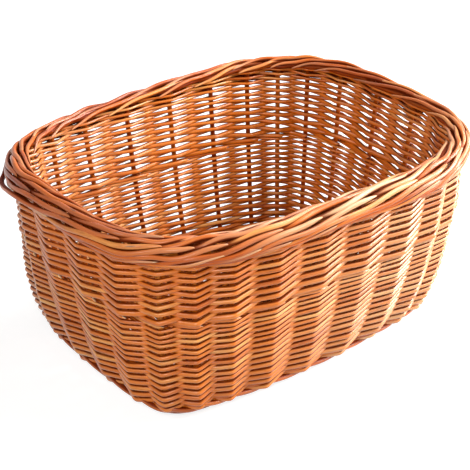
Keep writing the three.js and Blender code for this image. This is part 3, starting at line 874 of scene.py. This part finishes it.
# How many stakes ahead they start and end, how their girths vary, and how their ends are cut.
STAKE_ENDS, LAID_ENDS, INNER_ENDS = (3.85, 4.3), (6.1, 6.6), (7.4, 7.8)
TIP_STARTS, TIP_ENDS = (-0.1, 0.2), (2.1, 2.9)
STAKE_GIRTHS, LAID_GIRTHS = (0.9, 1.08), (0.88, 1.08)
STAKE_CUT, THIN_CUT, TIP_CUT = 1.1, -1.5, -1.8
TIP_SHARE = 0.85  # of the stakes that have a tip in the groove
TIP_OUTWARDS = 1.5


def add_stakes():
    """The stakes, each a piece of its own that replaces its node. In the border a stake ends
    blunt on the outside, a rod laid in under it carries on over the top to a thin end, another
    runs down the inner side, and the tip of a fourth lies in the groove below. All are darker
    round DARK_PLACE, by bumps exp(-(du/a)^2)."""
    tones = willow_tones(4 * STAKES, 0.5, 0.15).reshape(4, STAKES)
    corner = places_ahead(np.arange(STAKES) + SHOWS_AHEAD, DARK_PLACE) / DARK_REACH
    tones = np.clip(tones - DARKER * np.exp(-corner ** 2), DARKEST, PALEST)
    for k in range(STAKES):
        piece = Rods(sides=12)
        turns = rng.uniform(*STAKE_ENDS)
        path, way = stake_path(k, turns)
        girth = rng.uniform(*STAKE_GIRTHS)
        marks = [0, STAKE_EVEN, way[-1] - STAKE_THICK, way[-1] - STAKE_THIN, way[-1]]
        widths = [*STAKE_WIDTHS[:2], *(width * girth for width in STAKE_WIDTHS[2:])]
        radius = np.interp(way, marks, widths)
        pale = np.maximum(paler_tip(way, rng.uniform(0.05, 0.4)), path[:, 7])
        piece.add(path[:, :3], radius, out_directions(path), tones[0, k],
                  cut=(0.0, STAKE_CUT), seed=tones[0, k], free=path[:, 3:6], worn=path[:, 6],
                  pale=pale)
        over = rng.uniform(*LAID_ENDS)
        girth = rng.uniform(*LAID_GIRTHS)
        laid = helix(k, turns - 0.5, over, (6.0, 0.6), 1.4)
        add_strand(piece, laid, LAID_WIDTHS * girth, tones[1, k], THIN_CUT, rng.uniform(0.1, 0.5))
        inner = helix(k, over - 1.0, rng.uniform(*INNER_ENDS), (3.8, 0.0), 0.6)
        add_strand(piece, inner, INNER_WIDTHS, tones[2, k], THIN_CUT, 0.3)
        if rng.uniform() < TIP_SHARE:
            first, last = rng.uniform(*TIP_STARTS), rng.uniform(*TIP_ENDS)
            tip = helix(k, first, last, (3.0, -0.6), 0.4, shift=-0.5)
            tip[:, :3] += tip[:, 3:6] * UNSHADED_SHARE * TIP_OUTWARDS
            add_strand(piece, tip, TIP_WIDTHS, tones[3, k], TIP_CUT, rng.uniform(0.4, 0.9))
        piece.mesh(f"stake_rod_{k + 1:02d}", STAKE_WILLOW, [f"stake_{k + 1:02d}"], "stake_willow")


# The wale at the foot of the wall.

WALE_MIDDLE = 6.0  # length up the wall
WALE_LIFT = 2.6
WALE_RADIUS = 2.4
WALE_REACH = 4.0  # from the wall's middle
# Painted shade on the wale where it faces in: how sharp the change is, and its level.
WALE_SHADE_EDGE = 0.6
WALE_SHADE_LEVEL = -0.17


def add_wale():
    """Three rods that twist round the stakes like a rope: behind one stake, in front of the next
    one high and in front of the one after low."""
    tones = willow_tones(3, 0.3, 0.06)
    for start in range(3):
        count = 3 * ((STAKES - 1 - start) // 3)
        places = np.arange(count + 1)
        turn = places % 3
        side = np.where(turn == 0, -1.0, 1.0)
        lifts = np.choose(turn, [0.0, WALE_LIFT, -WALE_LIFT])
        t = np.linspace(0, count, count * 10 + 1)
        curve = smooth_path(places, np.column_stack([side, lifts]), t)
        centre, _, up, out = wall_frame(start + t, rise_at_length(WALE_MIDDLE + curve[:, 1]))
        centre = centre + out * (curve[:, 0] * WALE_REACH)[:, None]
        piece = Rods(sides=10)
        piece.add(centre, WALE_RADIUS, up, tones[start], seed=tones[start],
                  free=out * curve[:, :1] / WALE_SHADE_EDGE, worn=WALE_SHADE_LEVEL, pressed=up)
        piece.mesh(f"foot_wale_{start + 1}", WILLOW, [f"foot_wale_rod_{start + 1}"], "willow")


# The base.

BASE_WEAVER_RADIUS = 2.4
BASE_STICK_RADIUS = 3.2
BASE_REACH = FOOT - BASE_WEAVER_RADIUS
BASE_ROWS = 29
STICK_RINGS = 60
STICK_TAPER = 0.06
BASE_STEP = 2.6
TURN_WIDER, TURN_HIGHER = 1.1, 1.05  # where a weaver of the base turns round the outermost stick
EDGE_ROD_RADIUS = 2.3
EDGE_INSET, EDGE_PITCH = 1.6, 3.3
LEVEL_INSETS = (-2.2, 2.2)
LEVEL_WAVE, LEVEL_DROP = 0.1, 0.85


def stick_places():
    """The sticks' places across the base."""
    return np.linspace(-OUTER_STICK, OUTER_STICK, BASE_STICKS)


def add_base_sticks():
    """Seven straight sticks lengthwise, a little thinner at one end, cut off square."""
    tones = willow_tones(BASE_STICKS, 0.5, 0.12)
    for j, y in enumerate(stick_places()):
        share = abs(y) / (BASE_WIDTH / 2)
        edge = BASE_LENGTH / 2 * (1 - share ** BASE_SQUARENESS) ** (1 / BASE_SQUARENESS)
        end = min(edge, PANEL_HALF_LENGTH + 2 * STAKE_RADIUS) - 2 * STAKE_RADIUS
        x = np.linspace(-end, end, STICK_RINGS)
        path = np.column_stack([x, np.full(STICK_RINGS, y), np.full(STICK_RINGS, FOOT)])
        taper = BASE_STICK_RADIUS * (1 - STICK_TAPER * x / end * (-1) ** j)
        piece = Rods(sides=14)
        # Painted shade on the sides that face the next sticks.
        piece.add(path, taper, (0.0, 0.0, 1.0), tones[j], seed=tones[j], pressed=(0.0, 1.0, 0.0))
        piece.mesh(f"base_stick_rod_{j + 1}", BASE_WILLOW, [f"base_stick_{j + 1}"], "base_willow")


def base_weaver_path(half):
    """A rod to and fro across the sticks, over one and under the next, and round the outermost
    stick to the next row: its height is reach times the cosine of the way between sticks."""
    sticks = stick_places()
    pitch = 2 * END_ROW / (2 * BASE_ROWS - 1)
    points = []
    for row in range(BASE_ROWS):
        x = -END_ROW + (half * BASE_ROWS + row) * pitch
        forward = row % 2 == 0
        order = sticks if forward else sticks[::-1]
        for i, y in enumerate(order):
            high = 1 if (i % 2 == 0) == forward else -1
            points.append((x, y, FOOT + high * BASE_REACH))
            if i < BASE_STICKS - 1:
                points.append((x, (y + order[i + 1]) / 2, FOOT))
        if row < BASE_ROWS - 1:
            out = 1 if forward else -1
            for share in (1, 2):
                angle = math.pi / 2 - share * math.pi / 3
                wide = BASE_REACH * TURN_WIDER * math.cos(angle)
                tall = BASE_REACH * TURN_HIGHER * math.sin(angle)
                points.append((x + pitch * share / 3, order[-1] + out * wide, FOOT + high * tall))
    nodes = np.array(points)
    way = running_length(nodes)
    return smooth_path(way, nodes, np.arange(0, way[-1], BASE_STEP))


def edge_rod_path(inset, high, low=0.0):
    """A rod once round the base's edge, over one stake and under the next: its height at place
    u is reach * (high cos(pi u) - low)."""
    u = np.linspace(0.3, STAKES + 0.2, STAKES * 8)
    outline = wall(u, np.zeros(len(u)))
    along = outline_at(BASE_TABLE, u + 0.1) - outline_at(BASE_TABLE, u - 0.1)
    out = unit(np.column_stack([along[:, 1], -along[:, 0]]))
    reach = STAKE_RADIUS + EDGE_ROD_RADIUS
    height = outline[:, 2] + reach * (high * np.cos(np.pi * u) - low)
    return np.column_stack([outline[:, :2] - out * inset, height])


def add_base_weave():
    """Both halves of the base's weave, with the rods that close its edge round the stakes."""
    for half, name in enumerate(("left", "right")):
        path = base_weaver_path(half)
        tangent = unit(np.gradient(path, axis=0))
        side = np.cross(tangent, np.array([[1.0, 0.0, 0.0]]))
        piece = Rods(sides=8)
        # Painted shade where a weaver faces the rows beside it.
        piece.add(path, BASE_WEAVER_RADIUS, unit(side), 0.5, seed=0.3 + half * 0.4,
                  pressed=(1.0, 0.0, 0.0))
        # The edge rods' low tones are painted shade for the shaded edge of the base.
        for row in (half, half + 2):
            edge = edge_rod_path(EDGE_INSET + EDGE_PITCH * row, 1 if row % 2 else -1)
            piece.add(edge, EDGE_ROD_RADIUS, (0.0, 0.0, 1.0), 0.25 + 0.05 * row, seed=0.2 * row)
        if half == 0:
            # Two level rods under the stakes, which show as a dark edge below the weave; their low
            # tone is painted shade.
            for inset in LEVEL_INSETS:
                edge = edge_rod_path(inset, LEVEL_WAVE, LEVEL_DROP)
                piece.add(edge, EDGE_ROD_RADIUS, (0.0, 0.0, 1.0), 0.3, seed=0.5 + 0.1 * inset)
        piece.mesh(f"base_weave_{name}", BASE_WILLOW, [f"base_weaver_{name}"], "base_willow")


add_bands()
add_stakes()
add_wale()
add_base_sticks()
add_base_weave()


# Stage, light and camera.

def seen_by_camera_and_gloss(tree):
    """1 for what the camera sees straight, in gloss or through glass, and 0 for light that falls
    on things."""
    path = tree.nodes.new("ShaderNodeLightPath")
    seen = math_node(tree, "MAXIMUM", path.outputs["Is Camera Ray"], path.outputs["Is Glossy Ray"])
    return math_node(tree, "MAXIMUM", seen, path.outputs["Is Transmission Ray"])


def stage_material(name, colour, glow):
    """A plain pale surface. It glows to the camera and in reflections, so that it shows white
    behind the basket and throws no soft light on it."""
    material = bpy.data.materials.new(name)
    material.use_nodes = True
    tree = material.node_tree
    shader = tree.nodes["Principled BSDF"]
    shader.inputs["Base Color"].default_value = (*colour, 1.0)
    shader.inputs["Roughness"].default_value = 0.9
    shader.inputs["Specular IOR Level"].default_value = 0.1
    light = tree.nodes.new("ShaderNodeEmission")
    seen = seen_by_camera_and_gloss(tree)
    tree.links.new(math_node(tree, "MULTIPLY", seen, glow), light.inputs["Strength"])
    add = tree.nodes.new("ShaderNodeAddShader")
    tree.links.new(shader.outputs[0], add.inputs[0])
    tree.links.new(light.outputs[0], add.inputs[1])
    tree.links.new(add.outputs[0], tree.nodes["Material Output"].inputs["Surface"])
    return material


FLOOR_HALF = 6.0  # metres, like all of the stage
FLOOR_GAP = 0.0004
FLOOR_COLOUR = (0.38, 0.38, 0.38)
FLOOR_GLOW = 0.8


def add_floor():
    """A wide flat floor just under the basket."""
    signs = ((-1, -1), (1, -1), (1, 1), (-1, 1))
    corners = [(x * FLOOR_HALF, y * FLOOR_HALF, 0) for x, y in signs]
    mesh = bpy.data.meshes.new("floor")
    mesh.from_pydata(corners, [], [(0, 1, 2, 3)])
    mesh.materials.append(stage_material("floor_white", FLOOR_COLOUR, FLOOR_GLOW))
    floor = bpy.data.objects.new("floor", mesh)
    bpy.context.scene.collection.objects.link(floor)
    floor.location.z = -FLOOR_GAP


ROOM_LIGHT = 0.03


def add_world():
    """White all round to the camera, and a soft even light of its own on the basket."""
    world = bpy.data.worlds.new("studio")
    bpy.context.scene.world = world
    world.use_nodes = True
    tree = world.node_tree
    background = tree.nodes["Background"]
    background.inputs["Color"].default_value = (1.0, 1.0, 1.0, 1.0)
    seen = seen_by_camera_and_gloss(tree)
    extra = math_node(tree, "MULTIPLY", seen, 1.0 - ROOM_LIGHT)
    strength = math_node(tree, "ADD", extra, ROOM_LIGHT)
    tree.links.new(strength, background.inputs["Strength"])


def direction(azimuth, elevation):
    """The way from the basket to something at these angles in degrees: (sin a cos e,
    -cos a cos e, sin e). Azimuth 0 is in front of the long wall."""
    a, e = math.radians(azimuth), math.radians(elevation)
    return Vector((math.sin(a) * math.cos(e), -math.cos(a) * math.cos(e), math.sin(e)))


NEUTRAL = (1.0, 0.99, 0.97)
WARM = (1.0, 0.98, 0.95)
LAMP_TARGET = 0.09  # height at which the lamps point
# Name, azimuth, elevation, distance, width and height, power in watts, and colour.
LAMPS = (
    ("key_light", 62, 18, 1.5, (0.36, 1.25), 42.0, NEUTRAL),
    ("corner_light", 92, 8, 2.0, (0.6, 0.9), 15.0, NEUTRAL),
    ("front_light", -42, 26, 0.9, (0.3, 0.35), 3.0, WARM),
    ("side_light", -88, 40, 2.2, (0.6, 0.8), 14.0, WARM),
    ("top_light", 40, 40, 1.8, (0.35, 0.6), 12.0, WARM),
    ("rim_light", 95, 50, 1.8, (0.6, 0.6), 22.0, NEUTRAL),
)


def add_lamp(name, azimuth, elevation, distance, size, power, colour):
    """A soft box, so wide and so tall, that faces the basket."""
    way = direction(azimuth, elevation)
    lamp = bpy.data.lights.new(name, "AREA")
    lamp.shape = "RECTANGLE"
    lamp.size, lamp.size_y = size
    lamp.energy = power
    lamp.color = colour
    obj = bpy.data.objects.new(name, lamp)
    bpy.context.scene.collection.objects.link(obj)
    obj.location = way * distance + Vector((0, 0, LAMP_TARGET))
    obj.rotation_euler = way.to_track_quat("Z", "Y").to_euler()


def add_camera():
    """The camera that the photograph's outline was solved with."""
    back = direction(CAMERA_AZIMUTH, CAMERA_ELEVATION)
    data = bpy.data.cameras.new("camera")
    data.sensor_width = SENSOR_WIDTH
    data.lens = CAMERA_FOCUS / IMAGE_SIDE * data.sensor_width
    data.shift_x = (IMAGE_SIDE / 2 - CAMERA_CENTRE[0]) / IMAGE_SIDE
    data.shift_y = (CAMERA_CENTRE[1] - IMAGE_SIDE / 2) / IMAGE_SIDE
    data.clip_start, data.clip_end = 0.05, 50.0
    camera = bpy.data.objects.new("camera", data)
    bpy.context.scene.collection.objects.link(camera)
    camera.location = back * (CAMERA_DISTANCE * MM) + Vector((0, 0, HEIGHT / 2 * MM))
    camera.rotation_euler = back.to_track_quat("Z", "Y").to_euler()
    bpy.context.scene.camera = camera


add_floor()
add_world()
for lamp_row in LAMPS:
    add_lamp(*lamp_row)
add_camera()
bpy.context.scene.view_settings.view_transform = "Standard"
